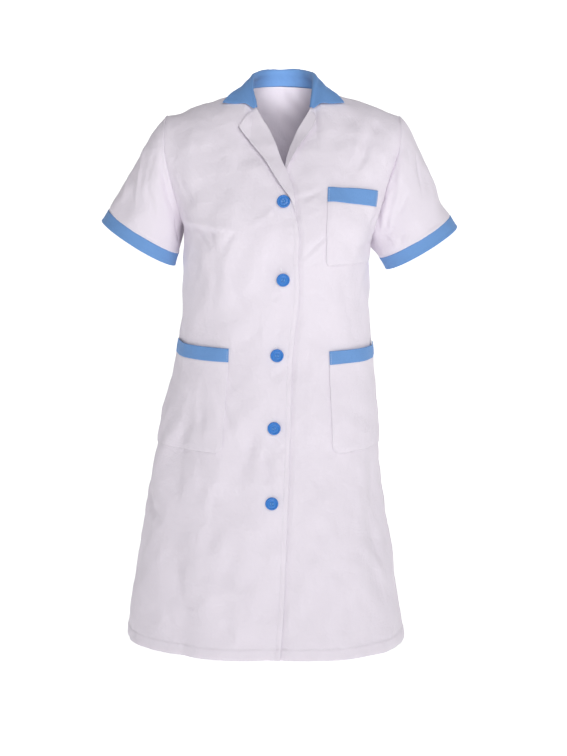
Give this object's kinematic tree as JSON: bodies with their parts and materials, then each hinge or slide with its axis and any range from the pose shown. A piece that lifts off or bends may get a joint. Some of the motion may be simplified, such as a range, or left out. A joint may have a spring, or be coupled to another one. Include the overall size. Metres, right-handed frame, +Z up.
{
  "type": "short-sleeved button-front work coat",
  "caption": "Knee-length work coat with turned-down collar, lapels, short sleeves and patch pockets, hollow as worn.",
  "frame": {"origin": "middle of the neck, level with the top of the shoulder seams", "axes": "+Z up along the body, -Y out of the front, +X towards the wearer's left"},
  "size_m": [0.616, 0.3247, 1.0092],
  "materials": {
    "white_cloth": "white polyester-cotton poplin, matt",
    "blue_cloth": "light blue polyester-cotton poplin, matt",
    "blue_button": "blue moulded button, satin gloss"
  },
  "bodies": {
    "root": {"back": "white_cloth", "front_right": "white_cloth", "front_left": "white_cloth", "sleeve_right": "white_cloth", "sleeve_left": "white_cloth", "cuff_right": "blue_cloth", "cuff_left": "blue_cloth", "collar": "blue_cloth", "lapel_right": "white_cloth", "lapel_left": "white_cloth", "chest_pocket": "white_cloth", "chest_pocket_band": "blue_cloth", "hip_pocket_right": "white_cloth", "hip_pocket_band_right": "blue_cloth", "hip_pocket_left": "white_cloth", "hip_pocket_band_left": "blue_cloth", "button_1": "blue_button", "button_2": "blue_button", "button_3": "blue_button", "button_4": "blue_button", "button_5": "blue_button"}
  },
  "joints": []
}
